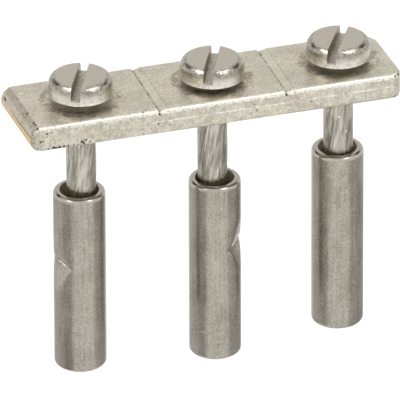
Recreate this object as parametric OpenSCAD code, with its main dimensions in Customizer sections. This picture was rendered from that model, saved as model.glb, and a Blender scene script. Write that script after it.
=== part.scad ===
// Terminal jumper comb: a scored metal bar with three loose slotted screws.
// Each screw carries a crimped spacer sleeve that slides on its neck.
// Millimetres, +Z up. The origin is on the bar's underside, on the middle hole's axis.

/* [Bar] */
// Distance from one screw to the next
pitch = 12; // [10:0.5:16]
// Width of the bar
bar_w = 8.9; // [7.5:0.1:12]
// Thickness of the bar
bar_t = 2.4; // [1.8:0.05:4]
// Rounding along the long edges
bar_edge_r = 0.38; // [0.1:0.02:0.6]
// Bar beyond the last hole at the punched end
end_margin = 4.88; // [4:0.01:6]
// Slant of the punched end, away from square
end_skew = 2; // [0:0.1:4]
// Corner radius in plan at the back of the punched end
end_corner_r = 2; // [0.5:0.1:2.5]
// Corner radius in plan at the front of the punched end
end_front_r = 1.4; // [0.2:0.1:1.8]
// Rounding under the punched end
end_foot_r = 0.45; // [0.1:0.05:0.8]

/* [Scores and snapped end] */
// Width of each score's steep left flank
score_steep = 0.16; // [0.06:0.02:0.4]
// Width of each score's flat right flank
score_flat = 0.8; // [0.4:0.02:1.2]
// Depth of each score
score_depth = 0.22; // [0.1:0.02:0.6]
// How far the snapped end reaches past the middle of its score
snap_over = 0.22; // [0:0.02:0.5]
// Slant of the snapped end, away from square
snap_skew = 1.5; // [0:0.1:4]
// Length of the bevel left by the snapped score
snap_run = 0.76; // [0.2:0.02:1]
// Height of the bevel left by the snapped score
snap_drop = 1.15; // [0.2:0.05:1.3]
// How far the bevel stands out in its middle
snap_bulge = 0.22; // [0.02:0.02:0.26]
// Rounding under the snapped end
snap_foot_r = 0.95; // [0.2:0.05:0.95]
// Corner radius in plan at the front of the snapped end
snap_front_r = 0.7; // [0.1:0.05:1.2]
// Corner radius in plan at the back of the snapped end
snap_back_r = 0.1; // [0.05:0.05:0.8]

/* [Screw] */
// Outside diameter of the thread
thread_d = 3; // [2.5:0.05:4]
// Length of the threaded end
thread_len = 7.5; // [5:0.5:10]
// Chamfer at the tip
tip_chamfer = 0.4; // [0.1:0.05:0.7]
// How far the neck lies below the thread's crest, on each side
neck_relief = 0.145; // [0.1:0.005:0.25]
// Length of the neck from the head to the thread
neck_len = 17.5; // [16:0.1:22]
// Diameter of the head
head_d = 6; // [5:0.1:7.5]
// Height of the head
head_h = 1.9; // [1.5:0.05:2.6]
// Rounding of the head's shoulder
head_round = 1; // [0.4:0.05:1.2]
// How far the head's side leans in
head_taper = 0.1; // [0.02:0.02:0.3]
// Chamfer of the head's lower edge
head_edge = 0.15; // [0.05:0.05:0.25]
// Width of the driver slot
slot_w = 0.85; // [0.6:0.05:1.2]
// Depth of the driver slot
slot_depth = 1.25; // [0.6:0.05:1.4]

/* [Sleeve] */
// Length of the sleeve
sleeve_len = 17.9; // [15:0.1:24]
// Wall of the sleeve
sleeve_wall = 0.62; // [0.56:0.02:1]
// Outer rounding of the upper rim
rim_r = 0.4; // [0.1:0.05:0.4]
// Outer rounding of the lower rim
foot_r = 0.45; // [0.1:0.05:0.45]
// Rounding of the bore's two edges
mouth_r = 0.1; // [0.04:0.02:0.12]
// Height of the crimp dent at the surface
crimp_h = 2.6; // [1.6:0.1:4]
// Height of the crimp tool's blunt nose
crimp_nose_h = 0.5; // [0.2:0.1:1]

/* [Clearances] */
// Room between the thread and the bar's hole, on each side
hole_clear = 0.2; // [0.175:0.025:0.4]
// Room between the thread and the sleeve's bore, on each side
bore_clear = 0.27; // [0.2:0.005:0.5]
// Room left between thread and bore on the side where the sleeve hangs closest
thread_gap = 0.05; // [0.04:0.005:0.15]
// Room between the crimp and the neck
crimp_gap = 0.03; // [0.02:0.01:0.08]
// Room between the crimp and the top of the thread that it hangs on
seat_gap = 0.05; // [0.02:0.01:0.1]

/* [How the loose pieces stand] */
// Height of each head above the bar, from left to right
head_lift = [0.62, 0.37, 0.49]; // [0.1:0.01:1.5]
// How far each screw stands to the right of its hole's middle
screw_shift = [-0.15, 0.3, 0.3]; // [-0.3:0.01:0.3]
// Turn of each driver slot, clockwise from the bar's cross direction
slot_turn = [26, 25, 30]; // [0:1:180]
// Distance of each crimp from its sleeve's upper rim
crimp_drop = [7.2, 6.62, 7.53]; // [5:0.01:10]
// Direction that each crimp faces, counted from the bar's right end
crimp_turn = [192, -36, 87]; // [-180:1:360]

/* [Hidden] */
$fn = 96;

LEFT = 0;
CENTRE = 1;
RIGHT = 2;

bar_color = [0.74, 0.71, 0.65];
screw_color = [0.70, 0.68, 0.65];
sleeve_color = [0.58, 0.56, 0.51];

// How far cutting shapes reach past the surface that they cut
overcut = 0.5;

hole_x = [for (i = [-1:1]) i * pitch];
score_x = [-pitch / 2, pitch / 2];
bar_left = -1.5 * pitch - snap_over;
bar_right = pitch + end_margin;
// How far the slant moves each end of the bar at its two sides
snap_slant = bar_w / 2 * tan(snap_skew);
end_slant = bar_w / 2 * tan(end_skew);

thread_r = thread_d / 2;
neck_r = thread_r - neck_relief;
hole_r = thread_r + hole_clear;
head_r = head_d / 2;

bore_r = thread_r + bore_clear;
sleeve_r = bore_r + sleeve_wall;

// The sleeve hangs to the side of its crimp, as far as the thread lets it
sleeve_hang = bore_clear - thread_gap;
// The crimp is as deep as it takes to reach the neck from there
crimp_depth = bore_r + sleeve_hang - neck_r - crimp_gap;
// Rise of the crimp's slanted flanks for each millimetre of depth
crimp_slope = (crimp_h - crimp_nose_h) / 2 / crimp_depth;
// Height of the crimp's middle above the top of the thread
crimp_seat = crimp_nose_h / 2 + (thread_r - neck_r - crimp_gap) * crimp_slope + seat_gap;

// Underside of a screw's head
function head_z(i) = bar_t + head_lift[i];
// Middle of a screw's axis
function screw_x(i) = hole_x[i] + screw_shift[i];
// Upper rim of a sleeve that hangs by its crimp on the top of the thread
function sleeve_z(i) = head_z(i) - neck_len + crimp_seat + crimp_drop[i];

// What rounding takes off a corner of this angle that lies at the origin
module corner_sliver(r, angle = 90) {
    reach = r / tan(angle / 2);
    difference() {
        polygon([
            [reach, r],
            [reach, -overcut],
            [-overcut, -overcut],
            [reach * cos(angle) - overcut * sin(angle), reach * sin(angle) + overcut * cos(angle)]
        ]);
        translate([reach, r]) circle(r);
    }
}

// The bar seen from its end
module bar_section() {
    corners = [[-bar_w / 2, 0], [bar_w / 2, 0], [bar_w / 2, bar_t], [-bar_w / 2, bar_t]];
    difference() {
        translate([-bar_w / 2, 0]) square([bar_w, bar_t]);
        for (k = [0:3]) translate(corners[k]) rotate(90 * k) corner_sliver(bar_edge_r);
    }
}

// The bar seen from above
module bar_plan() {
    front_left = [bar_left + snap_slant, -bar_w / 2];
    front_right = [bar_right + end_slant, -bar_w / 2];
    back_right = [bar_right - end_slant, bar_w / 2];
    back_left = [bar_left - snap_slant, bar_w / 2];
    difference() {
        polygon([front_left, front_right, back_right, back_left]);
        translate(front_left) corner_sliver(snap_front_r, 90 + snap_skew);
        translate(front_right) rotate(90 + end_skew) corner_sliver(end_front_r, 90 - end_skew);
        translate(back_right) rotate(180) corner_sliver(end_corner_r, 90 + end_skew);
        translate(back_left) rotate(270 + snap_skew) corner_sliver(snap_back_r, 90 - snap_skew);
    }
}

// What is missing above the snapped end, seen from the front with the end at x = 0
module snap_bevel() {
    length = norm([snap_run, snap_drop]);
    middle = [
        snap_run / 2 - snap_bulge * snap_drop / length,
        bar_t - snap_drop / 2 + snap_bulge * snap_run / length
    ];
    lower_slope = (middle.y - bar_t + snap_drop) / middle.x;
    upper_slope = (bar_t - middle.y) / (snap_run - middle.x);
    polygon([
        [-overcut, bar_t - snap_drop - overcut * lower_slope],
        middle,
        [snap_run + overcut / upper_slope, bar_t + overcut],
        [-overcut, bar_t + overcut]
    ]);
}

// What one score takes off the top of the bar, seen from the front
module score_notch() {
    top_share = 1 + overcut / score_depth;
    polygon([[-score_steep * top_share, overcut], [0, -score_depth], [score_flat * top_share, overcut]]);
}

// A shape seen from the front, drawn out across the bar
module across() {
    rotate([90, 0, 0]) linear_extrude(2 * bar_w, center = true) children();
}

module jumper_bar() {
    color(bar_color) difference() {
        intersection() {
            translate([bar_left - overcut, 0, 0])
                rotate([90, 0, 90])
                    linear_extrude(bar_right - bar_left + 2 * overcut) bar_section();
            linear_extrude(bar_t) bar_plan();
        }
        translate([bar_left, 0, 0]) rotate(snap_skew) across() snap_bevel();
        translate([bar_left, 0, 0]) rotate(snap_skew) across() corner_sliver(snap_foot_r);
        translate([bar_right, 0, 0]) rotate(end_skew) across() rotate(90) corner_sliver(end_foot_r);
        for (x = hole_x) translate([x, 0, -overcut]) cylinder(r = hole_r, h = bar_t + 2 * overcut);
        for (x = score_x) translate([x, 0, bar_t]) across() score_notch();
    }
}

// Half of the screw's section, with the head's underside at height 0
module screw_profile() {
    shoulder_r = head_r - head_taper;
    screw_len = neck_len + thread_len;
    difference() {
        polygon([
            [0, head_h],
            [shoulder_r, head_h],
            [shoulder_r, head_h - head_round],
            [head_r, head_edge],
            [head_r - head_edge, 0],
            [neck_r, 0],
            [neck_r, -neck_len],
            [thread_r, -neck_len],
            [thread_r, -screw_len + tip_chamfer],
            [thread_r - tip_chamfer, -screw_len],
            [0, -screw_len]
        ]);
        translate([shoulder_r, head_h]) rotate(180) corner_sliver(head_round);
    }
}

module screw(i) {
    color(screw_color) translate([screw_x(i), 0, head_z(i)]) difference() {
        rotate_extrude() screw_profile();
        rotate([0, 0, -slot_turn[i]])
            translate([-slot_w / 2, -head_d, head_h - slot_depth])
                cube([slot_w, 2 * head_d, slot_depth + overcut]);
    }
}

// The round tube before it is crimped, with its upper rim at height 0
module sleeve_tube() {
    rotate_extrude() difference() {
        translate([bore_r, -sleeve_len]) square([sleeve_wall, sleeve_len]);
        translate([bore_r, -sleeve_len]) corner_sliver(mouth_r);
        translate([sleeve_r, -sleeve_len]) rotate(90) corner_sliver(foot_r);
        translate([sleeve_r, 0]) rotate(180) corner_sliver(rim_r);
        translate([bore_r, 0]) rotate(270) corner_sliver(mouth_r);
    }
}

// The blunt wedge that makes the dent, with its nose this far from the sleeve's axis
module crimp_wedge(nose_x) {
    back_x = sleeve_r + overcut;
    nose_half = crimp_nose_h / 2;
    back_half = nose_half + (back_x - nose_x) * crimp_slope;
    rotate([90, 0, 0])
        linear_extrude(2 * sleeve_r + 2 * overcut, center = true)
            polygon([
                [nose_x, -nose_half],
                [back_x, -back_half],
                [back_x, back_half],
                [nose_x, nose_half]
            ]);
}

// A sleeve whose wall is pushed in on one side, hollow outside and standing proud inside
module sleeve(i) {
    hang = [cos(crimp_turn[i]), sin(crimp_turn[i]), 0] * sleeve_hang;
    color(sleeve_color)
        translate([screw_x(i), 0, sleeve_z(i)] + hang)
            rotate([0, 0, crimp_turn[i]])
                difference() {
                    union() {
                        sleeve_tube();
                        translate([0, 0, -crimp_drop[i]]) intersection() {
                            cylinder(r = bore_r + sleeve_wall / 2, h = sleeve_len, center = true);
                            crimp_wedge(bore_r - crimp_depth);
                        }
                    }
                    translate([0, 0, -crimp_drop[i]]) crimp_wedge(sleeve_r - crimp_depth);
                }
}

jumper_bar();
screw(LEFT);  // screw_left
screw(CENTRE);  // screw_centre
screw(RIGHT);  // screw_right
sleeve(LEFT);  // sleeve_left
sleeve(CENTRE);  // sleeve_centre
sleeve(RIGHT);  // sleeve_right
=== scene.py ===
"""The looks of a terminal jumper comb: a scored bar, three loose screws and their crimped sleeves."""

import math

import bpy
import numpy as np
from mathutils import Matrix, Vector


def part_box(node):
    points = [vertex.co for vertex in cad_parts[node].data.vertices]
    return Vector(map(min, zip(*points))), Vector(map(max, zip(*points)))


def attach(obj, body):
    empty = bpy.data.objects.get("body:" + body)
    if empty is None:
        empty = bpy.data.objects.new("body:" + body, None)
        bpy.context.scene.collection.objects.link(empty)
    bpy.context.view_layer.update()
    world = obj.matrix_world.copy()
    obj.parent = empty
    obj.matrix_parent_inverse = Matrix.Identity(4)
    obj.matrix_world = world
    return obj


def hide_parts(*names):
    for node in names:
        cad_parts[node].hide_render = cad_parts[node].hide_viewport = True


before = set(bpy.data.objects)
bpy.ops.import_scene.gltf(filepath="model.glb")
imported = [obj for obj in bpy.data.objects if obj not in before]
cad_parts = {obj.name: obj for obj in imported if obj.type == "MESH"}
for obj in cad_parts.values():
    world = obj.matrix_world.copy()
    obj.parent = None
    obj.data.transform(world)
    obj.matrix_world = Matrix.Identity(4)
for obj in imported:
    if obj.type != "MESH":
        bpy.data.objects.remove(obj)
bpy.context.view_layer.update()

MM = 0.001
TINY = 1e-6
SIDES = ("left", "centre", "right")

# Bar sizes in millimetres, as in the part's source apart from the sharper front corner of the right end
PITCH = 12.0
HOLE_R = 1.7
BAR_EDGE_R = 0.38
BAR_LEFT = -18.22
BAR_RIGHT = 16.88
END_SKEW = math.tan(math.radians(2))
END_CORNER_R = 2.0
END_FRONT_R = 1.0
END_FOOT_R = 0.45
SNAP_SKEW = math.tan(math.radians(1.5))
SNAP_RUN = 0.76
SNAP_DROP = 1.15
SNAP_BULGE = 0.22
SNAP_FOOT_R = 0.95
SNAP_FRONT_R = 0.7
SNAP_BACK_R = 0.1
SCORE_STEEP = 0.16
SCORE_FLAT = 0.8
SCORE_DEPTH = 0.22
SCORES = (-PITCH / 2, PITCH / 2)

# How finely the bar is meshed: steps in millimetres along it, points on each round and face across it
STATION_STEP = 0.15
STATION_GAP = 0.012
EDGE_STEPS = 9
FACE_STEPS = 70
HOLE_STEPS = 96
# The most of the bar's thickness that one rounded edge takes, and how far from an end its slant fades out
EDGE_SHARE = 0.3
SLANT_REACH = 4
# How far a cutter reaches past what it cuts
OVERCUT = 1
# Faces that meet at more than this many degrees keep a crease
CREASE_ANGLE = 35

# Screw sizes in millimetres, with a slightly lower and squarer head than in the part's source
HEAD_R = 3.0
HEAD_H = 1.82
HEAD_ROUND = 0.75
HEAD_TAPER = 0.1
HEAD_EDGE = 0.15
NECK_R = 1.355
NECK_LEN = 17.5
NECK_FILLET = 0.12
THREAD_R = 1.5
THREAD_LEN = 7.5
THREAD_PITCH = 0.5
THREAD_DEPTH = 0.29
TIP_CHAMFER = 0.4
SLOT_W = 0.85
SLOT_DEPTH = 1.1
SLOT_EASE = 0.05
SLOT_TURN = (26, 25, 30)
# Where a turned outline stops short of its axis
AXIS_R = 0.02

# Grain of the rolled neck: how far its middle lies inside the neck's radius, where it starts below the head,
# how soon it is full, and how much of it is used
NECK_TRIM = 0.004
GRAIN_START = -0.1
GRAIN_FADE = 0.8
GRAIN_SHARE = 0.8
# Its ridges: height in millimetres, number round the neck, twist in radians a millimetre, first angle
NECK_RIDGES = (
    (0.010, 23, -0.10, 0.4), (0.008, 31, -0.12, 2.1),
    (0.009, 14, -0.08, 4.0), (0.007, 41, -0.11, 1.2))

# Points round a screw or a sleeve
TURN_STEPS = 144

# Sleeve sizes in millimetres
SLEEVE_R = 2.39
BORE_R = 1.77
WALL_MIDDLE_R = (BORE_R + SLEEVE_R) / 2
RIM_R = 0.4
FOOT_R = 0.45
MOUTH_R = 0.1
CRIMP_H = 2.6
CRIMP_NOSE_H = 0.5
CRIMP_DEPTH = 0.605
CRIMP_HANG = 0.22
CRIMP_DRAWN = 1.0
CRIMP_SOFT_OUTSIDE = 0.12
CRIMP_SOFT_INSIDE = 0.06
CRIMP_DROP = (7.2, 6.62, 7.53)
CRIMP_TURN = (192, -36, 87)
SCRIBE_DROP = 14.95
SCRIBE_DEPTH = 0.045
SCRIBE_HALF = 0.06
SCRIBE_BELOW = 0.1

# Camera, in millimetres, degrees and pixels of the photograph
CAMERA_AZIMUTH = -17.35
CAMERA_ELEVATION = 28.58
CAMERA_ROLL = -0.2
CAMERA_DISTANCE = 1200
CAMERA_SENSOR = 36
CAMERA_CLIP_END = 10000
CAMERA_AIM = (-0.885, 0, -9.881)
PIXELS_PER_MM = 10.997
FRAME_PIXELS = 400

# Studio, in millimetres: the floor, and how near and far the grey fans reach on it
FLOOR_Z = -65
FLOOR_SIZE = 6000
FLOOR_GREY = (0.55, 0.55, 0.54)
FLOOR_GLOW = 0.4
FAN_NEAR = 35
FAN_FAR = 150
# Fans: name, first and last angle in degrees seen from above, and grey
FANS = (
    ("left_fan", -37, -77, 0.38),
    ("left_edge_fan", -77, -150, 0.55),
    ("right_fan", 60, 90, 0.48),
    ("right_edge_fan", 90, 150, 0.4))
# Flags and softboxes: places seen from the camera as right, behind and up, and sizes
FLAG_PLACE = (255, 150, 177)
FLAG_SIZE = (300, 160)
FLAG_GREY = (0.08, 0.08, 0.08)
SOFTBOX_PLACE = (130, -15, 277)
SOFTBOX_SIZE = (90, 150)
SOFTBOX_WATTS = 0.28
GLINT_PLACE = (194, -141, 233)
GLINT_SIZE = (110, 110)
GLINT_WATTS = 0.15


def node_box(name):
    """Lowest and highest corner of a CAD node, in millimetres."""
    low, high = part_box(name)
    return np.array(low) / MM, np.array(high) / MM


BAR_FRONT = node_box("jumper_bar")[0][1]
BAR_TOP = node_box("jumper_bar")[1][2]


# Mesh building

def skin(rings, wrap=False, flip=False):
    """Points and four-sided faces between rings of points. With wrap the last ring meets the first."""
    rings = np.asarray(rings, float)
    count, size = rings.shape[:2]
    index = np.arange(count * size).reshape(count, size)
    after = np.roll(index, -1, axis=0) if wrap else index[1:]
    before = index if wrap else index[:-1]
    faces = np.stack([before, np.roll(before, -1, 1), np.roll(after, -1, 1), after], -1).reshape(-1, 4)
    faces = [tuple(f) for f in faces.tolist()]
    if not wrap:
        faces += [tuple(range(size))[::-1], tuple(index[-1].tolist())]
    return rings.reshape(-1, 3), [f[::-1] for f in faces] if flip else faces


def make_object(name, points, faces, place=(0, 0, 0)):
    """An object whose points, in millimetres, are counted from its place."""
    mesh = bpy.data.meshes.new(name)
    mesh.from_pydata((np.asarray(points) * MM).tolist(), [], faces)
    piece = bpy.data.objects.new(name, mesh)
    piece.location = Vector(place) * MM
    bpy.context.scene.collection.objects.link(piece)
    bpy.context.view_layer.update()
    return piece


def smooth(piece):
    """Smooth shading, with creases at sharp edges."""
    piece.data.shade_smooth()
    piece.data.set_sharp_from_angle(angle=math.radians(CREASE_ANGLE))


def cut(piece, cutter):
    """Takes the cutter's shape out of a piece for good."""
    modifier = piece.modifiers.new("cut", "BOOLEAN")
    modifier.operation = "DIFFERENCE"
    modifier.solver = "EXACT"
    modifier.object = cutter
    result = bpy.data.meshes.new_from_object(piece.evaluated_get(bpy.context.evaluated_depsgraph_get()))
    piece.modifiers.clear()
    old = piece.data
    piece.data = result
    bpy.data.meshes.remove(old)
    bpy.data.objects.remove(cutter)


def arc(centre, radius, start, end, steps):
    """Points on an arc of a circle, angles in degrees."""
    angles = np.radians(np.linspace(start, end, steps))
    return np.stack([centre[0] + radius * np.cos(angles), centre[1] + radius * np.sin(angles)], 1)


def line(start, end, steps):
    """Points on a straight line."""
    return np.linspace(start, end, steps)


def join(*paths):
    """Paths put end to end, without the points that repeat."""
    points = np.concatenate(paths)
    keep = np.r_[True, np.linalg.norm(np.diff(points, axis=0), axis=1) > TINY]
    return points[keep]


def sweep_round(profile, steps):
    """Rings made by turning each profile point (radius, height) about the Z axis."""
    angles = np.linspace(0, 2 * math.pi, steps, endpoint=False)
    radius = profile[:, 0, None]
    height = np.broadcast_to(profile[:, 1, None], (len(profile), steps))
    return np.stack([radius * np.cos(angles), radius * np.sin(angles), height], -1)


# Bar

def corner_inset(distance, radius):
    """How far a round corner pulls a side in, at this distance from the end."""
    d = min(max(distance, 0), radius)
    return radius - math.sqrt(max(radius ** 2 - (radius - d) ** 2, 0))


def bar_stations():
    """Places along the bar, closer together at its ends and scores."""
    def eased(length, steps):
        return length * (1 - np.cos(np.linspace(0, math.pi / 2, steps)))
    snapped = np.r_[eased(SNAP_FOOT_R, 14), eased(SNAP_FRONT_R, 12), eased(SNAP_BACK_R, 6), SNAP_RUN]
    punched = np.r_[eased(END_CORNER_R, 20), eased(END_FOOT_R, 7)]
    even = np.arange(BAR_LEFT + 1, BAR_RIGHT - 1.5, STATION_STEP)
    steep_side = [-0.25, -SCORE_STEEP, -0.1, -0.05]
    flat_side = np.arange(0, SCORE_FLAT, 0.1)
    scores = [x + np.r_[steep_side, flat_side, SCORE_FLAT] for x in SCORES]
    places = np.concatenate([BAR_LEFT + snapped, BAR_RIGHT - punched, even, *scores])
    places = np.unique(np.round(places, 3))
    return places[np.r_[True, np.diff(places) > STATION_GAP]]


def bar_top(x, top):
    """Height of the upper face, with its scores and the bevel of the snapped end."""
    from_left = x - BAR_LEFT
    length = math.hypot(SNAP_RUN, SNAP_DROP)
    bevel_x = [0, SNAP_RUN / 2 - SNAP_BULGE * SNAP_DROP / length, SNAP_RUN]
    bevel_z = [-SNAP_DROP, -SNAP_DROP / 2 + SNAP_BULGE * SNAP_RUN / length, 0]
    drop = np.interp(from_left, bevel_x, bevel_z)
    for score in SCORES:
        drop += np.interp(x - score, [-SCORE_STEEP, 0, SCORE_FLAT], [0, -SCORE_DEPTH, 0])
    return top + drop


def bar_ring(x, low, high):
    """The bar's outline across at one place: over the top from front to back, then back underneath."""
    from_left = x - BAR_LEFT
    from_right = BAR_RIGHT - x
    front = low[1] + corner_inset(from_left, SNAP_FRONT_R) + corner_inset(from_right, END_FRONT_R)
    back = high[1] - corner_inset(from_left, SNAP_BACK_R) - corner_inset(from_right, END_CORNER_R)
    top = bar_top(x, high[2])
    bottom = low[2] + corner_inset(from_left, SNAP_FOOT_R) + corner_inset(from_right, END_FOOT_R)
    r = min(BAR_EDGE_R, (top - bottom) * EDGE_SHARE)
    middle = (top + bottom) / 2
    upper = join(
        line((front, middle), (front, top - r), EDGE_STEPS),
        arc((front + r, top - r), r, 180, 90, EDGE_STEPS),
        line((front + r, top), (back - r, top), FACE_STEPS),
        arc((back - r, top - r), r, 90, 0, EDGE_STEPS),
        line((back, top - r), (back, middle), EDGE_STEPS))
    lower = join(
        line((back, middle), (back, bottom + r), EDGE_STEPS),
        arc((back - r, bottom + r), r, 0, -90, EDGE_STEPS),
        line((back - r, bottom), (front + r, bottom), FACE_STEPS),
        arc((front + r, bottom + r), r, -90, -180, EDGE_STEPS),
        line((front, bottom + r), (front, middle), EDGE_STEPS))
    return np.insert(np.concatenate([upper[:-1], lower[:-1]]), 0, x, axis=1)


def slant_ends(points, low, high):
    """Leans the bar's two ends, which were not cut quite square, and keeps them within the box."""
    for end, skew in ((BAR_LEFT, SNAP_SKEW), (BAR_RIGHT, END_SKEW)):
        share = np.clip(1 - np.abs(points[:, 0] - end) / SLANT_REACH, 0, 1)
        points[:, 0] -= points[:, 1] * skew * share * share * (3 - 2 * share)
    return np.clip(points, low, high)


def make_bar():
    """The plated bar with its three holes."""
    low, high = node_box("jumper_bar")
    points, faces = skin([bar_ring(x, low, high) for x in bar_stations()])
    bar = make_object("plated_bar", slant_ends(points, low, high), faces)
    for i in (-1, 0, 1):
        wall = np.array([[HOLE_R, low[2] - OVERCUT], [HOLE_R, high[2] + OVERCUT]])
        cut(bar, make_object("hole", *skin(sweep_round(wall, HOLE_STEPS)), place=(i * PITCH, 0, 0)))
    smooth(bar)
    return bar


# Screws

def screw_profile():
    """Radius and height of the screw's outline, with the head's underside at height 0."""
    shoulder = HEAD_R - HEAD_TAPER
    end = -NECK_LEN - THREAD_LEN
    return join(
        line((AXIS_R, HEAD_H), (shoulder - HEAD_ROUND, HEAD_H), 14),
        arc((shoulder - HEAD_ROUND, HEAD_H - HEAD_ROUND), HEAD_ROUND, 90, 0, 18),
        line((shoulder, HEAD_H - HEAD_ROUND), (HEAD_R, HEAD_EDGE), 6),
        line((HEAD_R, HEAD_EDGE), (HEAD_R - HEAD_EDGE, 0), 4),
        line((HEAD_R - HEAD_EDGE, 0), (NECK_R + NECK_FILLET, 0), 8),
        arc((NECK_R + NECK_FILLET, -NECK_FILLET), NECK_FILLET, 90, 180, 5),
        line((NECK_R, -NECK_FILLET), (NECK_R, -NECK_LEN), 110),
        line((NECK_R, -NECK_LEN), (NECK_R, end), 170),
        line((NECK_R, end), (AXIS_R, end), 10))


def thread_wave(phase):
    """A rolled thread's section over one turn, with short flats: 0 at the crest, 1 at the root."""
    steepness = 1.25
    flat = 0.125
    return np.clip(steepness * np.abs(2 * (phase % 1) - 1) - flat, 0, 1)


def neck_grain(angles, z):
    """Ridges that run down the rolled neck with a slight twist."""
    total = 0
    for height, count, twist, start in NECK_RIDGES:
        total = total + height * np.sin(count * (angles + twist * z) + start)
    return total


def shape_shank(rings, profile):
    """Grain on the neck, a thread on the end and a chamfered tip."""
    angles = np.arctan2(rings[0, :, 1], rings[0, :, 0])
    end = -NECK_LEN - THREAD_LEN
    for ring, (radius, z) in zip(rings, profile):
        if radius < NECK_R - TINY or z > GRAIN_START:
            continue
        grown = min((GRAIN_START - z) / GRAIN_FADE, 1) * GRAIN_SHARE
        size = NECK_R - NECK_TRIM + grown * neck_grain(angles, z)
        into_thread = min(max((-NECK_LEN - z) / THREAD_PITCH, 0), 1)
        wave = thread_wave(z / THREAD_PITCH + angles / (2 * math.pi))
        size = size + into_thread * (THREAD_R - THREAD_DEPTH * wave - size)
        size = np.minimum(size, THREAD_R - TIP_CHAMFER + min(z - end, TIP_CHAMFER))
        ring[:, :2] *= (size / radius)[:, None]
    return rings


def slot_cutter(place):
    """A long bar of the slot's section, with eased lips and floor corners."""
    floor = HEAD_H - SLOT_DEPTH
    half = SLOT_W / 2
    right_half = [
        (half - SLOT_EASE, floor), (half, floor + SLOT_EASE),
        (half, HEAD_H - SLOT_EASE), (half + SLOT_EASE, HEAD_H),
        (half + SLOT_EASE, HEAD_H + OVERCUT)]
    section = np.array(right_half + [(-x, z) for x, z in right_half[::-1]])
    reach = HEAD_R + OVERCUT
    rings = [np.insert(section, 1, y, axis=1) for y in (-reach, reach)]
    return make_object("slot", *skin(rings, flip=True), place=place)


def make_screw(i):
    """One slotted screw, turned as the photograph shows it."""
    low, high = node_box("screw_" + SIDES[i])
    place = ((low[0] + high[0]) / 2, (low[1] + high[1]) / 2, low[2] + NECK_LEN + THREAD_LEN)
    profile = screw_profile()
    rings = shape_shank(sweep_round(profile, TURN_STEPS), profile)
    screw = make_object("slotted_screw_" + SIDES[i], *skin(rings, flip=True), place=place)
    cut(screw, slot_cutter(place))
    screw.rotation_euler.z = math.radians(-SLOT_TURN[i])
    smooth(screw)
    return screw


# Sleeves

def sleeve_profile(length):
    """The tube's wall as a closed loop of (radius, height), with the upper rim at height 0."""
    return join(
        arc((SLEEVE_R - RIM_R, -RIM_R), RIM_R, 90, 0, 10),
        line((SLEEVE_R, -RIM_R), (SLEEVE_R, -SCRIBE_DROP + SCRIBE_HALF), 125),
        line((SLEEVE_R, -SCRIBE_DROP), (SLEEVE_R, -SCRIBE_DROP - SCRIBE_HALF), 2),
        line((SLEEVE_R, -SCRIBE_DROP - SCRIBE_BELOW), (SLEEVE_R, -length + FOOT_R), 24),
        arc((SLEEVE_R - FOOT_R, -length + FOOT_R), FOOT_R, 0, -90, 10),
        arc((BORE_R + MOUTH_R, -length + MOUTH_R), MOUTH_R, -90, -180, 5),
        line((BORE_R, -length + MOUTH_R), (BORE_R, -MOUTH_R), 110),
        arc((BORE_R + MOUTH_R, -MOUTH_R), MOUTH_R, 180, 90, 5))


def crimp(points, drop):
    """Pushes the wall in on the +X side, as a blunt chisel does. Outside, the wall is drawn in softly."""
    off = np.abs(points[:, 2] + drop)
    slope = (CRIMP_H - CRIMP_NOSE_H) / 2 / CRIMP_DEPTH
    inner = BORE_R - CRIMP_DEPTH + np.maximum(off - CRIMP_NOSE_H / 2, 0) / slope
    outer = SLEEVE_R - CRIMP_DEPTH * np.exp(-off / CRIMP_DRAWN)
    outside = np.hypot(points[:, 0], points[:, 1]) > WALL_MIDDLE_R
    x = points[:, 0]
    limit = np.where(outside, outer, inner)
    softness = np.where(outside, CRIMP_SOFT_OUTSIDE, CRIMP_SOFT_INSIDE)
    pressed = (x + limit - np.hypot(x - limit, softness)) / 2
    points[:, 0] += (pressed - x) * np.clip(CRIMP_H - off, 0, 1)
    return points


def scribe(points):
    """Scratches an uneven ring round the tube, near its foot."""
    ring = np.abs(points[:, 2] + SCRIBE_DROP) < TINY
    radius = np.hypot(points[ring, 0], points[ring, 1])
    angle = np.arctan2(points[ring, 1], points[ring, 0])
    uneven = 0.6 + 0.4 * np.sin(3 * angle + 1)
    depth = np.where(radius > WALL_MIDDLE_R, SCRIBE_DEPTH, 0) * uneven
    points[ring, :2] *= (1 - depth / radius)[:, None]
    return points


def make_sleeve(i):
    """One crimped sleeve, which hangs to one side on its screw."""
    screw_low, screw_high = node_box("screw_" + SIDES[i])
    low, high = node_box("sleeve_" + SIDES[i])
    axis = (screw_low + screw_high) / 2
    turn = math.radians(CRIMP_TURN[i])
    rings = sweep_round(sleeve_profile(high[2] - low[2]), TURN_STEPS)
    points, faces = skin(rings, wrap=True, flip=True)
    if SIDES[i] == "centre":
        points = scribe(points)
    points = crimp(points, CRIMP_DROP[i]) @ np.array(Matrix.Rotation(turn, 3, "Z")).T
    place = (axis[0] + CRIMP_HANG * math.cos(turn), axis[1] + CRIMP_HANG * math.sin(turn), high[2])
    sleeve = make_object("crimped_sleeve_" + SIDES[i], points, faces, place)
    smooth(sleeve)
    return sleeve


# Shading

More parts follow.
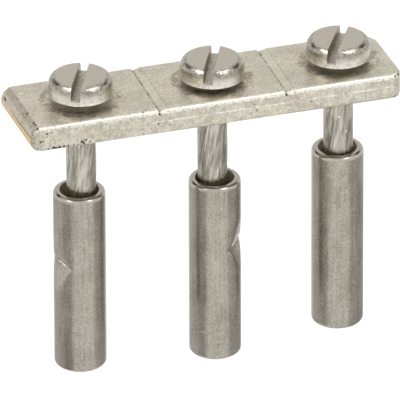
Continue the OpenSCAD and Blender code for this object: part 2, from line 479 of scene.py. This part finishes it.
class Metal:
    """The nodes of one metal material. Its coordinates are millimetres of the piece's own frame."""

    def __init__(self, name):
        self.material = bpy.data.materials.new(name)
        self.material.use_nodes = True
        self.tree = self.material.node_tree
        self.shader = self.tree.nodes["Principled BSDF"]
        self.shader.inputs["Metallic"].default_value = 1
        coordinates = self.tree.nodes.new("ShaderNodeTexCoord").outputs["Object"]
        self.place = self.vector("MULTIPLY", coordinates, (1 / MM, 1 / MM, 1 / MM))
        apart = self.node("ShaderNodeSeparateXYZ", {"Vector": self.place})
        self.x, self.y, self.z = (apart.outputs[k] for k in "XYZ")

    def node(self, kind, inputs, **settings):
        made = self.tree.nodes.new(kind)
        for key, value in settings.items():
            setattr(made, key, value)
        for key, value in inputs.items():
            if isinstance(value, bpy.types.NodeSocket):
                self.tree.links.new(value, made.inputs[key])
            else:
                made.inputs[key].default_value = value
        return made

    def math(self, operation, a, b=0.0):
        return self.node("ShaderNodeMath", {0: a, 1: b}, operation=operation).outputs[0]

    def vector(self, operation, a, b):
        return self.node("ShaderNodeVectorMath", {0: a, 1: b}, operation=operation).outputs[0]

    def distance(self, a, b):
        return self.node("ShaderNodeVectorMath", {0: a, 1: b}, operation="DISTANCE").outputs["Value"]

    def from_axis(self, x=0, y=0):
        """Distance from an upright axis."""
        return self.distance(self.vector("MULTIPLY", self.place, (1, 1, 0)), (x, y, 0))

    def shifted(self, offset):
        """Coordinates moved by an offset, so that pieces of one metal don't share a pattern."""
        return self.vector("ADD", self.place, tuple(offset))

    def add(self, *terms):
        total = terms[0]
        for term in terms[1:]:
            total = self.math("ADD", total, term)
        return total

    def times(self, *terms):
        total = terms[0]
        for term in terms[1:]:
            total = self.math("MULTIPLY", total, term)
        return total

    def weigh(self, *pairs):
        """Sum of values, each times its weight."""
        return self.add(*(self.times(value, weight) for value, weight in pairs))

    def most(self, *values):
        """The largest of these values."""
        total = values[0]
        for value in values[1:]:
            total = self.math("MAXIMUM", total, value)
        return total

    def ramp(self, value, start, end):
        """Goes smoothly from 0 to 1 while the value goes from start to end."""
        low, high, first, last = (start, end, 0.0, 1.0) if start < end else (end, start, 1.0, 0.0)
        inputs = {"Value": value, "From Min": low, "From Max": high, "To Min": first, "To Max": last}
        return self.node("ShaderNodeMapRange", inputs, interpolation_type="SMOOTHSTEP").outputs[0]

    def band(self, value, middle, half, soft):
        """1 where the value is within half of the middle."""
        off = self.math("ABSOLUTE", self.math("SUBTRACT", value, middle))
        return self.ramp(off, half + soft, half)

    def noise(self, scale, detail=2.0, stretch=(1, 1, 1), place=None):
        spread = self.vector("MULTIPLY", place or self.place, stretch)
        inputs = {"Vector": spread, "Scale": scale, "Detail": detail, "Roughness": 0.6}
        return self.node("ShaderNodeTexNoise", inputs).outputs[0]

    def specks(self, scale, size, share, stretch=(1, 1, 1), place=None):
        """Small round spots, in this share of the cells of a random lattice."""
        spread = self.vector("MULTIPLY", place or self.place, stretch)
        cells = self.node("ShaderNodeTexVoronoi", {"Vector": spread, "Scale": scale})
        pick = self.node("ShaderNodeSeparateColor", {"Color": cells.outputs["Color"]}).outputs[0]
        spot = self.ramp(cells.outputs["Distance"], size, size * 0.5)
        return self.times(spot, self.ramp(pick, 1 - share, 1.02 - share))

    def spot(self, centre, radius):
        """1 near a point, with a ragged border."""
        ragged = self.times(self.noise(2 / radius), radius)
        return self.ramp(self.add(self.distance(self.place, centre), ragged), radius * 1.7, radius * 1.1)

    def spots(self, places):
        """1 near any of these places, each an x, y, z and radius."""
        return self.most(*(self.spot((x, y, z), radius) for x, y, z, radius in places))

    def mix(self, share, a, b):
        """Colour a, turning to b where the share is 1."""
        a, b = ((*c, 1) if isinstance(c, tuple) else c for c in (a, b))
        return self.node("ShaderNodeMix", {0: share, 6: a, 7: b}, data_type="RGBA").outputs[2]

    def shade(self, share, color, tint):
        """A colour, multiplied by the tint where the share is 1."""
        settings = {"data_type": "RGBA", "blend_type": "MULTIPLY"}
        return self.node("ShaderNodeMix", {0: share, 6: color, 7: (*tint, 1)}, **settings).outputs[2]

    def finish(self, color, roughness, height, depth):
        """Colour, roughness and a relief of this depth in millimetres."""
        bump = self.node("ShaderNodeBump", {"Height": height, "Strength": 1.0, "Distance": depth * MM})
        for key, value in (("Base Color", color), ("Roughness", roughness), ("Normal", bump.outputs[0])):
            self.tree.links.new(value, self.shader.inputs[key])
        return self.material


# Colours of the bar's plating, and of the metal laid bare where it was snapped off
TIN_DARK = (0.44, 0.405, 0.325)
TIN_LIGHT = (0.625, 0.585, 0.485)
# The front face's colours: its own grain, made lighter than the top's as painted light
FRONT_DARK = (0.43, 0.395, 0.32)
FRONT_LIGHT = (0.745, 0.70, 0.60)
# Creamy tin for worn edges, also used as painted sheen on the front edge and the score slopes
TIN_WEAR_AND_SHEEN = (0.66, 0.63, 0.535)
# Near white: bright wear marks, and painted highlights on edges, lips and flecks
BURNISH_AND_HIGHLIGHT = (0.96, 0.95, 0.92)
BREAK_GREY = (0.53, 0.48, 0.405)
BRASS = (0.70, 0.54, 0.27)
BREAK_BROWN = (0.22, 0.15, 0.08)

# Tints that multiply the bar's colours: pits, wear and marks, and painted shade in the scores' creases
PIT_TINT = (0.20, 0.18, 0.15)
RING_TINT = (0.46, 0.42, 0.35)
SCORE_BORDER_TINT = (0.55, 0.5, 0.42)
SCORE_CREASE_SHADE_TINT = (0.45, 0.40, 0.31)
BEVEL_TINT = (0.74, 0.66, 0.55)

# Marks on the bar, each an x, y, z and radius in millimetres
BAR_GASHES = (
    (-17.5, -0.15, 2.4, 0.06), (-17.55, -1.12, 2.36, 0.19), (-17.5, -2.97, 2.36, 0.17),
    (-17.5, -3.4, 2.36, 0.18), (-17.48, -4.15, 2.3, 0.15), (-18.3, 3.67, 1.6, 0.2),
    (-18.25, 3.35, 1.6, 0.16), (-17.75, 4.3, 2.1, 0.16), (-17.95, 2.2, 1.9, 0.12),
    (-17.95, 0.6, 1.9, 0.1), (16.75, -4.1, 2.3, 0.15), (16.35, -4.3, 2.25, 0.12),
    (16.9, -3.7, 2.35, 0.1), (-6.02, -4.4, 2.1, 0.15), (5.98, -4.4, 2.1, 0.15),
    (-6.02, 3.21, 2.2, 0.13), (-6.03, 1.44, 2.2, 0.12), (-6.0, -0.69, 2.2, 0.13),
    (5.98, 3.4, 2.2, 0.13), (5.97, 0.6, 2.2, 0.1))
BAR_PITS = (
    (-17.24, -4.4, 1.07, 0.13), (-17.0, -4.42, 1.1, 0.08), (-5.43, 3.74, 2.35, 0.1),
    (-5.35, 3.41, 2.36, 0.07), (-4.58, -1.47, 2.4, 0.08))
BAR_FLECKS = (
    (-17.05, 2.62, 2.4, 0.10), (-16.9, 2.55, 2.4, 0.08),
    (-4.94, -4.45, 1.21, 0.09), (-4.5, -4.45, 1.4, 0.05))

# Pits on the bar's front face, each an x, z and radius
FRONT_PITS = (
    (-16.67, 1.79, 0.11), (-16.67, 1.5, 0.06), (-16.11, 1.21, 0.05), (-16.53, 0.21, 0.12),
    (-16.03, 0.26, 0.19), (-15.8, 0.2, 0.15), (-15.48, 0.22, 0.19), (-15.08, 0.25, 0.16),
    (-14.68, 0.28, 0.12), (-14.18, 0.29, 0.08), (-13.37, 0.48, 0.15), (-13.2, 0.24, 0.14),
    (-13.0, 0.6, 0.12), (-12.62, 0.34, 0.1), (-11.89, 0.27, 0.08), (-7.6, 0.3, 0.07),
    (-6.17, 1.11, 0.09), (3.15, 0.96, 0.08))


def bar_metal(screw_places):
    """Tin plating: pitted, darkened in a ring round each screw, with painted sheen and a painted highlight
    along its worn front edge, and a front face painted lighter than its top.
    """
    m = Metal("bar_tin_plating")
    top = m.ramp(m.z, BAR_TOP - 0.25, BAR_TOP - 0.1)
    side = m.math("SUBTRACT", 1, top)
    grain = m.weigh((m.noise(0.5, 3), 0.5), (m.noise(4.5, 3), 0.9), (m.noise(13, 1), 0.35))
    upright = m.weigh((m.noise(5, 4, stretch=(1, 1, 0.12)), 0.4), (m.noise(1.6, 5), 0.75), (grain, 1))
    on_top = m.mix(m.ramp(grain, 0.68, 1.08), TIN_DARK, TIN_LIGHT)
    # The front face gets the lighter front colours, which carry painted light
    color = m.mix(top, m.mix(m.ramp(upright, 1.15, 1.75), FRONT_DARK, FRONT_LIGHT), on_top)
    color = darken_round_screws(m, color, top, screw_places)
    color, rubbed_and_sheen = edge_wear_and_highlight(m, color)
    color = score_creases(m, color)
    color = snapped_end(m, color)
    broken = m.ramp(m.noise(0.8, 3), 0.35, 0.6)
    drawn = m.times(m.band(m.z, 1.3, 0.03, 0.05), side, m.ramp(m.x, -9, -6), broken)
    color = m.mix(m.times(drawn, 0.7), color, BURNISH_AND_HIGHLIGHT)
    pits = bar_pits(m, top, side)
    color = m.shade(pits, color, PIT_TINT)
    flecks = m.most(m.specks(1.7, 0.1, 0.08), m.spots(BAR_FLECKS))
    color = m.mix(m.times(flecks, 0.8), color, BURNISH_AND_HIGHLIGHT)
    front_edge = m.ramp(m.y, BAR_FRONT + 0.37, BAR_FRONT + 0.25)
    roughness = m.add(0.31, m.weigh((m.noise(1.1, 3), 0.22), (pits, 0.2), (front_edge, -0.06)))
    relief = m.weigh((m.noise(6, 3), 0.6), (m.noise(1.2, 2), 1), (pits, -1.2), (rubbed_and_sheen, m.noise(9, 2)))
    return m.finish(color, roughness, relief, 0.02)


def bar_pits(m, top, side):
    """Small dark pits: scattered, dense low on the left and along the front edge, and single ones."""
    near_edge = m.times(m.band(m.y, BAR_FRONT + 0.55, 0.12, 0.15), top)
    low_left = m.times(side, m.ramp(m.z, 1.3, 0.2), m.ramp(m.x, -9, -14))
    ragged = m.times(m.specks(3.2, 0.3, 0.5), m.add(low_left, near_edge))
    scattered = m.most(m.specks(2.4, 0.2, 0.12), m.times(m.specks(5, 0.26, 0.1), 0.6))
    on_front = tuple((x, BAR_FRONT, z, radius) for x, z, radius in FRONT_PITS)
    return m.most(scattered, ragged, m.spots(BAR_GASHES + BAR_PITS + on_front))


def darken_round_screws(m, color, top, screw_places):
    """A ragged, speckled ring of brownish grey on the top round each screw head."""
    for x, y in screw_places:
        reach = m.add(m.from_axis(x, y), m.times(m.noise(1.3, 4), 1.6))
        # A darker ring round the head, ragged and speckled
        worn = m.times(m.band(reach, 3.95, 0.4, 0.3), top, m.ramp(m.noise(1.5, 5), 0.36, 0.6))
        worn = m.times(worn, m.add(m.times(m.ramp(m.noise(5, 4), 0.42, 0.58), 0.6), 0.4))
        color = m.shade(worn, color, RING_TINT)
    return color


def edge_wear_and_highlight(m, color):
    """The upper front edge: creamy where rubbing has worn it, partly painted sheen, and a painted highlight
    on the turn itself.
    """
    ragged = m.add(m.y, m.times(m.noise(1.7, 4), -0.8), 0.4)
    # A worn band along the front edge, which is also painted sheen
    near_front = m.ramp(ragged, BAR_FRONT + 0.7, BAR_FRONT + 0.45)
    rubbed_and_sheen = m.times(near_front, m.ramp(m.z, BAR_TOP - 0.28, BAR_TOP - 0.2))
    color = m.mix(m.times(rubbed_and_sheen, m.ramp(m.noise(6, 4), 0.42, 0.6)), color, TIN_WEAR_AND_SHEEN)
    height = m.add(m.z, m.times(m.noise(2, 3), 0.08), -0.04)
    on_turn = m.ramp(m.y, BAR_FRONT + 0.25, BAR_FRONT + 0.15)
    # Painted highlight: a broken near white line along the turn of the front edge
    turn = m.times(m.band(height, BAR_TOP - 0.27, 0.05, 0.04), on_turn)
    turn = m.times(turn, m.add(m.times(m.ramp(m.noise(3.6, 5), 0.42, 0.56), 0.8), 0.1))
    return m.mix(turn, color, BURNISH_AND_HIGHLIGHT), rubbed_and_sheen


def score_creases(m, color):
    """Painted shade along the crease of each score, and a painted highlight on the long slope to its right.
    """
    above_crease = m.ramp(m.z, BAR_TOP - 0.3, BAR_TOP - 0.2)
    for score in SCORES:
        from_score = m.math("SUBTRACT", m.x, score)
        # Painted highlight on the long slope of the score
        flank_highlight = m.times(m.band(from_score, 0.42, 0.22, 0.24), above_crease)
        color = m.mix(m.times(flank_highlight, m.ramp(m.noise(1.5, 4), 0.2, 0.55), 0.42), color, TIN_WEAR_AND_SHEEN)
        border = m.times(m.band(from_score, SCORE_FLAT, 0.03, 0.06), above_crease, m.noise(2, 3))
        color = m.shade(m.times(border, 0.6), color, SCORE_BORDER_TINT)
        # Painted shade in the score's crease
        crease_shade = m.times(m.ramp(m.noise(1.8, 3), 0.25, 0.75), m.ramp(m.z, BAR_TOP - 0.45, BAR_TOP - 0.3))
        color = m.shade(m.times(m.band(from_score, -0.02, 0.06, 0.16), crease_shade), color, SCORE_CREASE_SHADE_TINT)
    return color


def snapped_end(m, color):
    """Grey where the bar was scored, bare brass where it broke, and brown where they meet."""
    from_end = m.add(m.x, m.times(m.y, SNAP_SKEW), -BAR_LEFT)
    ragged = m.add(m.y, m.times(m.noise(1.5, 3), 0.3))
    across = m.ramp(ragged, BAR_FRONT + 0.45, BAR_FRONT + 0.57)
    near_end = m.ramp(from_end, SNAP_RUN + 0.03, SNAP_RUN - 0.04)
    bevel = m.times(near_end, across)
    color = m.mix(m.times(bevel, 0.65), color, BREAK_GREY)
    color = m.shade(m.times(bevel, m.ramp(m.noise(2.2, 4), 0.45, 0.7)), color, BEVEL_TINT)
    border = m.add(m.times(m.y, -0.03), m.times(m.noise(1.2, 3), 0.3), 1.1)
    above = m.math("SUBTRACT", m.z, border)
    broken = m.times(m.ramp(above, 0.02, -0.04), bevel, m.ramp(m.z, 0.2, 0.3))
    brown = m.times(m.band(above, 0.05, 0.05, 0.07), bevel, m.ramp(m.y, 3, -1))
    color = m.mix(m.times(brown, 0.8), color, BREAK_BROWN)
    color = m.mix(broken, color, BRASS)
    rim = m.times(m.band(across, 0.4, 0.2, 0.3), near_end, m.ramp(m.z, 0.7, 0.8))
    return m.mix(m.times(rim, 0.7), color, BREAK_BROWN)


# Colours of the screws' plating; the side, shoulder and underside colours carry painted sheen, reflection
# and light
ZINC_DARK = (0.41, 0.378, 0.315)
ZINC_LIGHT = (0.485, 0.45, 0.38)
ZINC_SIDE_SHEEN = (0.71, 0.685, 0.625)
ZINC_DARK_REFLECTION = (0.26, 0.245, 0.21)
ZINC_UNDER_PAINTED_LIGHT = (0.86, 0.84, 0.79)
SLOT_WALL_SHADED = (0.48, 0.44, 0.37)
SLOT_FLOOR = (0.52, 0.485, 0.41)
NECK_DARK = (0.26, 0.24, 0.20)
NECK_LIGHT = (0.61, 0.575, 0.495)

# Tints that multiply the screws' colours: grit, a mottle in the slot, and painted shade in the neck's
# grooves and the thread's roots
GRIT_TINT = (0.55, 0.52, 0.47)
SLOT_TINT = (0.6, 0.56, 0.5)
GROOVE_SHADE_TINT = (0.32, 0.30, 0.26)
ROOT_SHADE_TINT = (0.5, 0.46, 0.4)

# How far the patterns of two screws lie apart, as a multiple of the distance between the screws
SCREW_PATTERN_SHIFT = 3


def head_color(m, own):
    """Matte grey on top, brighter and patchy round the side as painted sheen, a painted dark reflection at
    the shoulder, grit below it, a painted highlight on the lower edge and a painted light underside.
    """
    color = m.mix(m.noise(2.5, 4, place=own), ZINC_DARK, ZINC_LIGHT)
    patchy = m.ramp(m.noise(2.2, 5, place=own), 0.22, 0.55)
    # Painted sheen: the side is lighter than the top of the same plating
    color = m.mix(m.times(m.ramp(m.z, 1.3, 0.5), patchy), color, ZINC_SIDE_SHEEN)
    # Painted dark reflection: a ragged dark ring on the shoulder
    shoulder = m.times(m.band(m.from_axis(), 2.62, 0.22, 0.12), m.ramp(m.z, 0.9, 1.1))
    dark_reflection = m.times(shoulder, m.ramp(m.noise(2.8, 5, place=own), 0.42, 0.56))
    color = m.mix(m.times(dark_reflection, 0.85), color, ZINC_DARK_REFLECTION)
    grit = m.times(m.specks(4.5, 0.36, 0.4, place=own), m.band(m.z, 0.7, 0.55, 0.1))
    color = m.shade(m.times(grit, 0.7), color, GRIT_TINT)
    # Painted highlight: a broken bright line on the head's lower edge
    low_edge_highlight = m.times(m.band(m.z, 0.2, 0.12, 0.1), m.ramp(m.noise(3, 4, place=own), 0.4, 0.6))
    color = m.mix(m.times(low_edge_highlight, 0.6), color, BURNISH_AND_HIGHLIGHT)
    # Painted light: the underside is made bright so that the shade under the head is lighter
    return m.mix(m.ramp(m.z, 0.04, 0.0), color, ZINC_UNDER_PAINTED_LIGHT)


def slot_color(m, across, fine):
    """The slot's floor, its walls a little darker as painted shade, and a mottled darkening in both."""
    wall = m.ramp(across, SLOT_W / 2 - 0.04, SLOT_W / 2 - 0.02)
    return m.shade(m.ramp(fine, 0.6, 0.4), m.mix(wall, SLOT_FLOOR, SLOT_WALL_SHADED), SLOT_TINT)


def twist_with_grain(m, own):
    """Coordinates that turn slowly down the neck, as its grain does."""
    inputs = {"Vector": own, "Angle": m.times(m.z, -0.1), "Center": m.vector("SUBTRACT", own, m.place)}
    return m.node("ShaderNodeVectorRotate", inputs, rotation_type="Z_AXIS").outputs[0]


def neck_grooves(m, place):
    """Fine grooves that run along the neck."""
    return m.specks(3.4, 0.22, 0.5, stretch=(1, 1, 0.07), place=place)


def neck_color(m, twisted, streaks, grooves):
    """Streaks along the neck, painted shade in its grooves, and a painted highlight on a lip beside each."""
    lip_highlights = neck_grooves(m, m.vector("ADD", twisted, (0.06, 0.03, 0)))
    color = m.mix(m.times(lip_highlights, 0.6), m.mix(streaks, NECK_DARK, NECK_LIGHT), BURNISH_AND_HIGHLIGHT)
    return m.shade(grooves, color, GROOVE_SHADE_TINT)


def screw_metal(i, place):
    """Zinc plated steel: matte on the head's top, shinier round its side, streaked on the neck."""
    m = Metal("screw_zinc_plating_" + SIDES[i])
    own = m.shifted(place * SCREW_PATTERN_SHIFT)
    flat = m.ramp(m.z, HEAD_H - 0.12, HEAD_H - 0.02)
    neck = m.ramp(m.z, -0.05, -0.2)
    fine = m.noise(7, 3, place=own)
    across = m.math("ABSOLUTE", m.x)
    in_slot = m.times(m.ramp(across, SLOT_W / 2 + 0.02, SLOT_W / 2), m.ramp(m.z, 0.5, 0.6))
    twisted = twist_with_grain(m, own)
    streaks = m.ramp(m.noise(3.5, 5, stretch=(1, 1, 0.14), place=twisted), 0.3, 0.7)
    grooves = neck_grooves(m, twisted)

    color = m.mix(in_slot, head_color(m, own), slot_color(m, across, fine))
    color = m.mix(neck, color, neck_color(m, twisted, streaks, grooves))
    # Painted glints: bright flecks along the neck
    flecks = m.times(m.specks(1.9, 0.2, 0.25, stretch=(1, 1, 0.6), place=own), neck)
    color = m.mix(m.times(flecks, 0.8), color, BURNISH_AND_HIGHLIGHT)
    # Painted shade in the thread's roots
    root = m.times(m.ramp(m.z, -NECK_LEN, -NECK_LEN - 0.4), m.ramp(m.from_axis(), 1.45, 1.25))
    color = m.shade(root, color, ROOT_SHADE_TINT)

    worn = m.noise(1.7, 3, place=own)
    roughness = m.add(0.12, m.weigh((worn, 0.14), (flat, 0.16), (neck, 0.06), (in_slot, 0.2)))
    hammered = m.weigh((m.noise(2.6, 3, place=own), 1.8), (m.noise(6.5, 4, place=own), 1.5))
    dents = m.times(hammered, m.ramp(m.z, HEAD_H - 0.03, HEAD_H - 0.2))
    relief = m.weigh((fine, 0.6), (streaks, neck), (m.times(grooves, neck), -1.2), (dents, 1))
    return m.finish(color, roughness, relief, 0.012)


# Colours of the sleeves' plating and of the bare bore
NICKEL_DARK = (0.25, 0.233, 0.195)
NICKEL_LIGHT = (0.51, 0.478, 0.412)
# Bright nickel: scratches, and painted sheen on the rim
NICKEL_SCRATCH_AND_SHEEN = (0.62, 0.60, 0.55)
NICKEL_RIM_TOP = (0.36, 0.335, 0.29)
# Bare brass, made brighter than brass is, as painted light inside the bore
BORE_BRASS_LIT = (0.92, 0.83, 0.66)

# Tints that marks multiply the sleeves' colours by
CHISEL_TINT = (0.55, 0.47, 0.40)
MARK_TINT = (0.5, 0.46, 0.4)

# How far the patterns of two sleeves lie apart, as a multiple of the distance between the sleeves
SLEEVE_PATTERN_SHIFT = 2


def chisel_mark(m, i, color):
    """The mark of the crimping tool: a bright line in the dent, with dark ones beside it."""
    turn = math.radians(CRIMP_TURN[i])
    outward = m.weigh((m.x, math.cos(turn)), (m.y, math.sin(turn)))
    across = m.weigh((m.x, -math.sin(turn)), (m.y, math.cos(turn)))
    place = m.times(m.band(across, 0.15, 0.62, 0.15), m.ramp(outward, 1.3, 1.5))
    height = m.add(m.z, m.times(m.noise(2.5, 3), 0.3), CRIMP_DROP[i] - 0.15)
    lines = m.most(m.band(height, 0.13, 0.03, 0.05), m.band(height, -0.12, 0.02, 0.05))
    color = m.shade(m.times(lines, place, 0.7), color, CHISEL_TINT)
    bright = m.times(m.band(height, 0, 0.04, 0.06), place, m.ramp(m.noise(4, 3), 0.2, 0.45))
    return m.mix(bright, color, BURNISH_AND_HIGHLIGHT)


def sleeve_metal(i, place):
    """Nickel plated brass tube: satin and finely mottled outside, with painted sheen on its rim, and bare
    inside, where the brass is painted brighter as painted light.
    """
    m = Metal("sleeve_nickel_plating_" + SIDES[i])
    own = m.shifted(place * SLEEVE_PATTERN_SHIFT)
    cloud = m.noise(0.45, 4, place=own)
    lines = m.noise(5, 3, stretch=(1, 1, 0.06), place=own)
    fine = m.noise(6, 5, place=own)
    tone = m.weigh((cloud, 0.4), (lines, 0.45), (fine, 0.75))
    color = m.mix(m.ramp(tone, 0.52, 1.08), NICKEL_DARK, NICKEL_LIGHT)
    marks = m.specks(1.2, 0.16, 0.06)
    color = m.shade(marks, color, MARK_TINT)
    scratches = m.most(m.specks(0.8, 0.24, 0.3, stretch=(1, 1, 9)), m.specks(2.6, 0.18, 0.12))
    color = m.mix(m.times(scratches, 0.6), color, NICKEL_SCRATCH_AND_SHEEN)
    # The rim's rounding is lighter: partly polish, partly painted sheen for its glints
    rim = m.ramp(m.z, -0.45, -0.25)
    color = m.mix(m.times(rim, 0.4), color, NICKEL_SCRATCH_AND_SHEEN)
    # Darker on the rim's top face
    color = m.mix(m.times(m.ramp(m.z, -0.22, -0.1), 0.85), color, NICKEL_RIM_TOP)
    color = chisel_mark(m, i, color)
    # Painted light: the bore's brass is bright to lift the shade inside it
    bore = m.times(m.ramp(m.from_axis(), BORE_R + 0.016, BORE_R + 0.004), m.ramp(m.z, -0.05, -0.15))
    color = m.mix(bore, color, BORE_BRASS_LIT)
    roughness = m.add(0.16, m.weigh((cloud, 0.14), (fine, 0.08), (bore, 0.35), (rim, -0.08)))
    relief = m.weigh((lines, 0.25), (fine, 0.35), (marks, -1.0))
    return m.finish(color, roughness, relief, 0.01)


# Stage

def direction(azimuth, elevation):
    """Unit vector towards a place seen from the part: azimuth 0 is the front, 90 the right end."""
    a = math.radians(azimuth)
    e = math.radians(elevation)
    return Vector((math.sin(a) * math.cos(e), -math.cos(a) * math.cos(e), math.sin(e)))


def studio(side, behind, height):
    """A place in the studio in millimetres, seen from the camera: to the right, behind the part and up."""
    away = -direction(CAMERA_AZIMUTH, 0)
    return direction(CAMERA_AZIMUTH + 90, 0) * side + away * behind + Vector((0, 0, height))


def plain_material(name, color):
    """A matte material without gloss."""
    material = bpy.data.materials.new(name)
    material.use_nodes = True
    shader = material.node_tree.nodes["Principled BSDF"]
    shader.inputs["Base Color"].default_value = (*color, 1)
    shader.inputs["Roughness"].default_value = 1
    shader.inputs["Specular IOR Level"].default_value = 0
    return material


def lay_card(name, corners, place, color):
    """A flat matte piece of the stage, turned square to the camera."""
    card = make_object(name, corners, [(0, 1, 2, 3)], place)
    card.rotation_euler.z = math.radians(CAMERA_AZIMUTH)
    card.data.materials.append(plain_material(name, color))
    return card


def make_card(name, place, size, color):
    """A level card at a place in the studio."""
    x = size[0] / 2
    y = size[1] / 2
    return lay_card(name, [(-x, -y, 0), (x, -y, 0), (x, y, 0), (-x, y, 0)], studio(*place), color)


def make_fan(name, start, end, grey):
    """A grey card on the floor that fills the angles from start to end, seen from above the part."""
    ends = ((start, FAN_NEAR), (start, FAN_FAR), (end, FAN_FAR), (end, FAN_NEAR))
    corners = [direction(angle, 0) * reach for angle, reach in ends]
    return lay_card(name, corners, (0, 0, FLOOR_Z + 1), (grey, grey, grey))


def make_floor():
    """A white floor, which the camera and the metal see a little brighter than it is lit."""
    floor = make_card("floor", (0, 0, FLOOR_Z), (FLOOR_SIZE, FLOOR_SIZE), FLOOR_GREY)
    tree = floor.data.materials[0].node_tree
    seen = tree.nodes.new("ShaderNodeLightPath").outputs
    either = tree.nodes.new("ShaderNodeMath")
    either.operation = "MAXIMUM"
    glow = tree.nodes.new("ShaderNodeMath")
    glow.operation = "MULTIPLY"
    glow.inputs[1].default_value = FLOOR_GLOW
    shader = tree.nodes["Principled BSDF"]
    shader.inputs["Emission Color"].default_value = (1, 1, 1, 1)
    tree.links.new(seen["Is Camera Ray"], either.inputs[0])
    tree.links.new(seen["Is Glossy Ray"], either.inputs[1])
    tree.links.new(either.outputs[0], glow.inputs[0])
    tree.links.new(glow.outputs[0], shader.inputs["Emission Strength"])


def both_sides(place):
    """A place on the right and its mirror image on the left, each with its side's name."""
    side, behind, height = place
    return ("left", (-side, behind, height)), ("right", (side, behind, height))


def make_cards():
    """Grey cards that show in reflections alone. They give the metal something to mirror besides white."""
    cards = [make_fan(*fan) for fan in FANS]
    for name, place in both_sides(FLAG_PLACE):
        cards.append(make_card(name + "_flag", place, FLAG_SIZE, FLAG_GREY))
    for card in cards:
        card.visible_camera = False
        card.visible_diffuse = False
        card.visible_shadow = False


def make_world():
    """Even white light from all round."""
    world = bpy.data.worlds.new("studio")
    bpy.context.scene.world = world
    world.use_nodes = True
    world.node_tree.nodes["Background"].inputs["Color"].default_value = (1, 1, 1, 1)
    world.node_tree.nodes["Background"].inputs["Strength"].default_value = 1.0


def make_softbox(name, place, size, watts):
    """A soft lamp that shines straight down."""
    data = bpy.data.lights.new(name, "AREA")
    data.shape = "RECTANGLE"
    data.size = size[0] * MM
    data.size_y = size[1] * MM
    data.energy = watts
    lamp = bpy.data.objects.new(name, data)
    bpy.context.scene.collection.objects.link(lamp)
    lamp.location = studio(*place) * MM
    lamp.rotation_euler.z = math.radians(CAMERA_AZIMUTH)
    return lamp


def make_lamps():
    """A pair of softboxes overhead, and a pair in front that only give the rounded edges their glints."""
    for name, place in both_sides(SOFTBOX_PLACE):
        make_softbox(name + "_softbox", place, SOFTBOX_SIZE, SOFTBOX_WATTS)
    for name, place in both_sides(GLINT_PLACE):
        glint = make_softbox(name + "_front_softbox", place, GLINT_SIZE, GLINT_WATTS)
        glint.visible_diffuse = False


def make_camera():
    """The photograph's view. Its lens gives the fitted number of pixels a millimetre at the aim."""
    data = bpy.data.cameras.new("camera")
    data.sensor_width = CAMERA_SENSOR
    data.lens = data.sensor_width * CAMERA_DISTANCE * PIXELS_PER_MM / FRAME_PIXELS
    data.clip_end = CAMERA_CLIP_END * MM
    camera = bpy.data.objects.new("camera", data)
    bpy.context.scene.collection.objects.link(camera)
    right = direction(CAMERA_AZIMUTH + 90, 0)
    back = direction(CAMERA_AZIMUTH, CAMERA_ELEVATION)
    basis = Matrix((right, back.cross(right), back)).transposed().to_4x4()
    place = Matrix.Translation((Vector(CAMERA_AIM) + back * CAMERA_DISTANCE) * MM)
    camera.matrix_world = place @ basis @ Matrix.Rotation(math.radians(CAMERA_ROLL), 4, "Z")
    bpy.context.scene.camera = camera


def dress(piece, node, material):
    """Puts a finished piece in the place of its CAD node."""
    piece.data.materials.clear()
    piece.data.materials.append(material)
    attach(piece, node)
    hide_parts(node)


make_camera()
make_world()
make_floor()
make_cards()
make_lamps()

screws = [make_screw(i) for i in range(3)]
dress(make_bar(), "jumper_bar", bar_metal([tuple(s.location / MM)[:2] for s in screws]))
for i, side in enumerate(SIDES):
    dress(screws[i], "screw_" + side, screw_metal(i, screws[i].location / MM))
    sleeve = make_sleeve(i)
    dress(sleeve, "sleeve_" + side, sleeve_metal(i, sleeve.location / MM))

bpy.context.scene.view_settings.view_transform = "Standard"
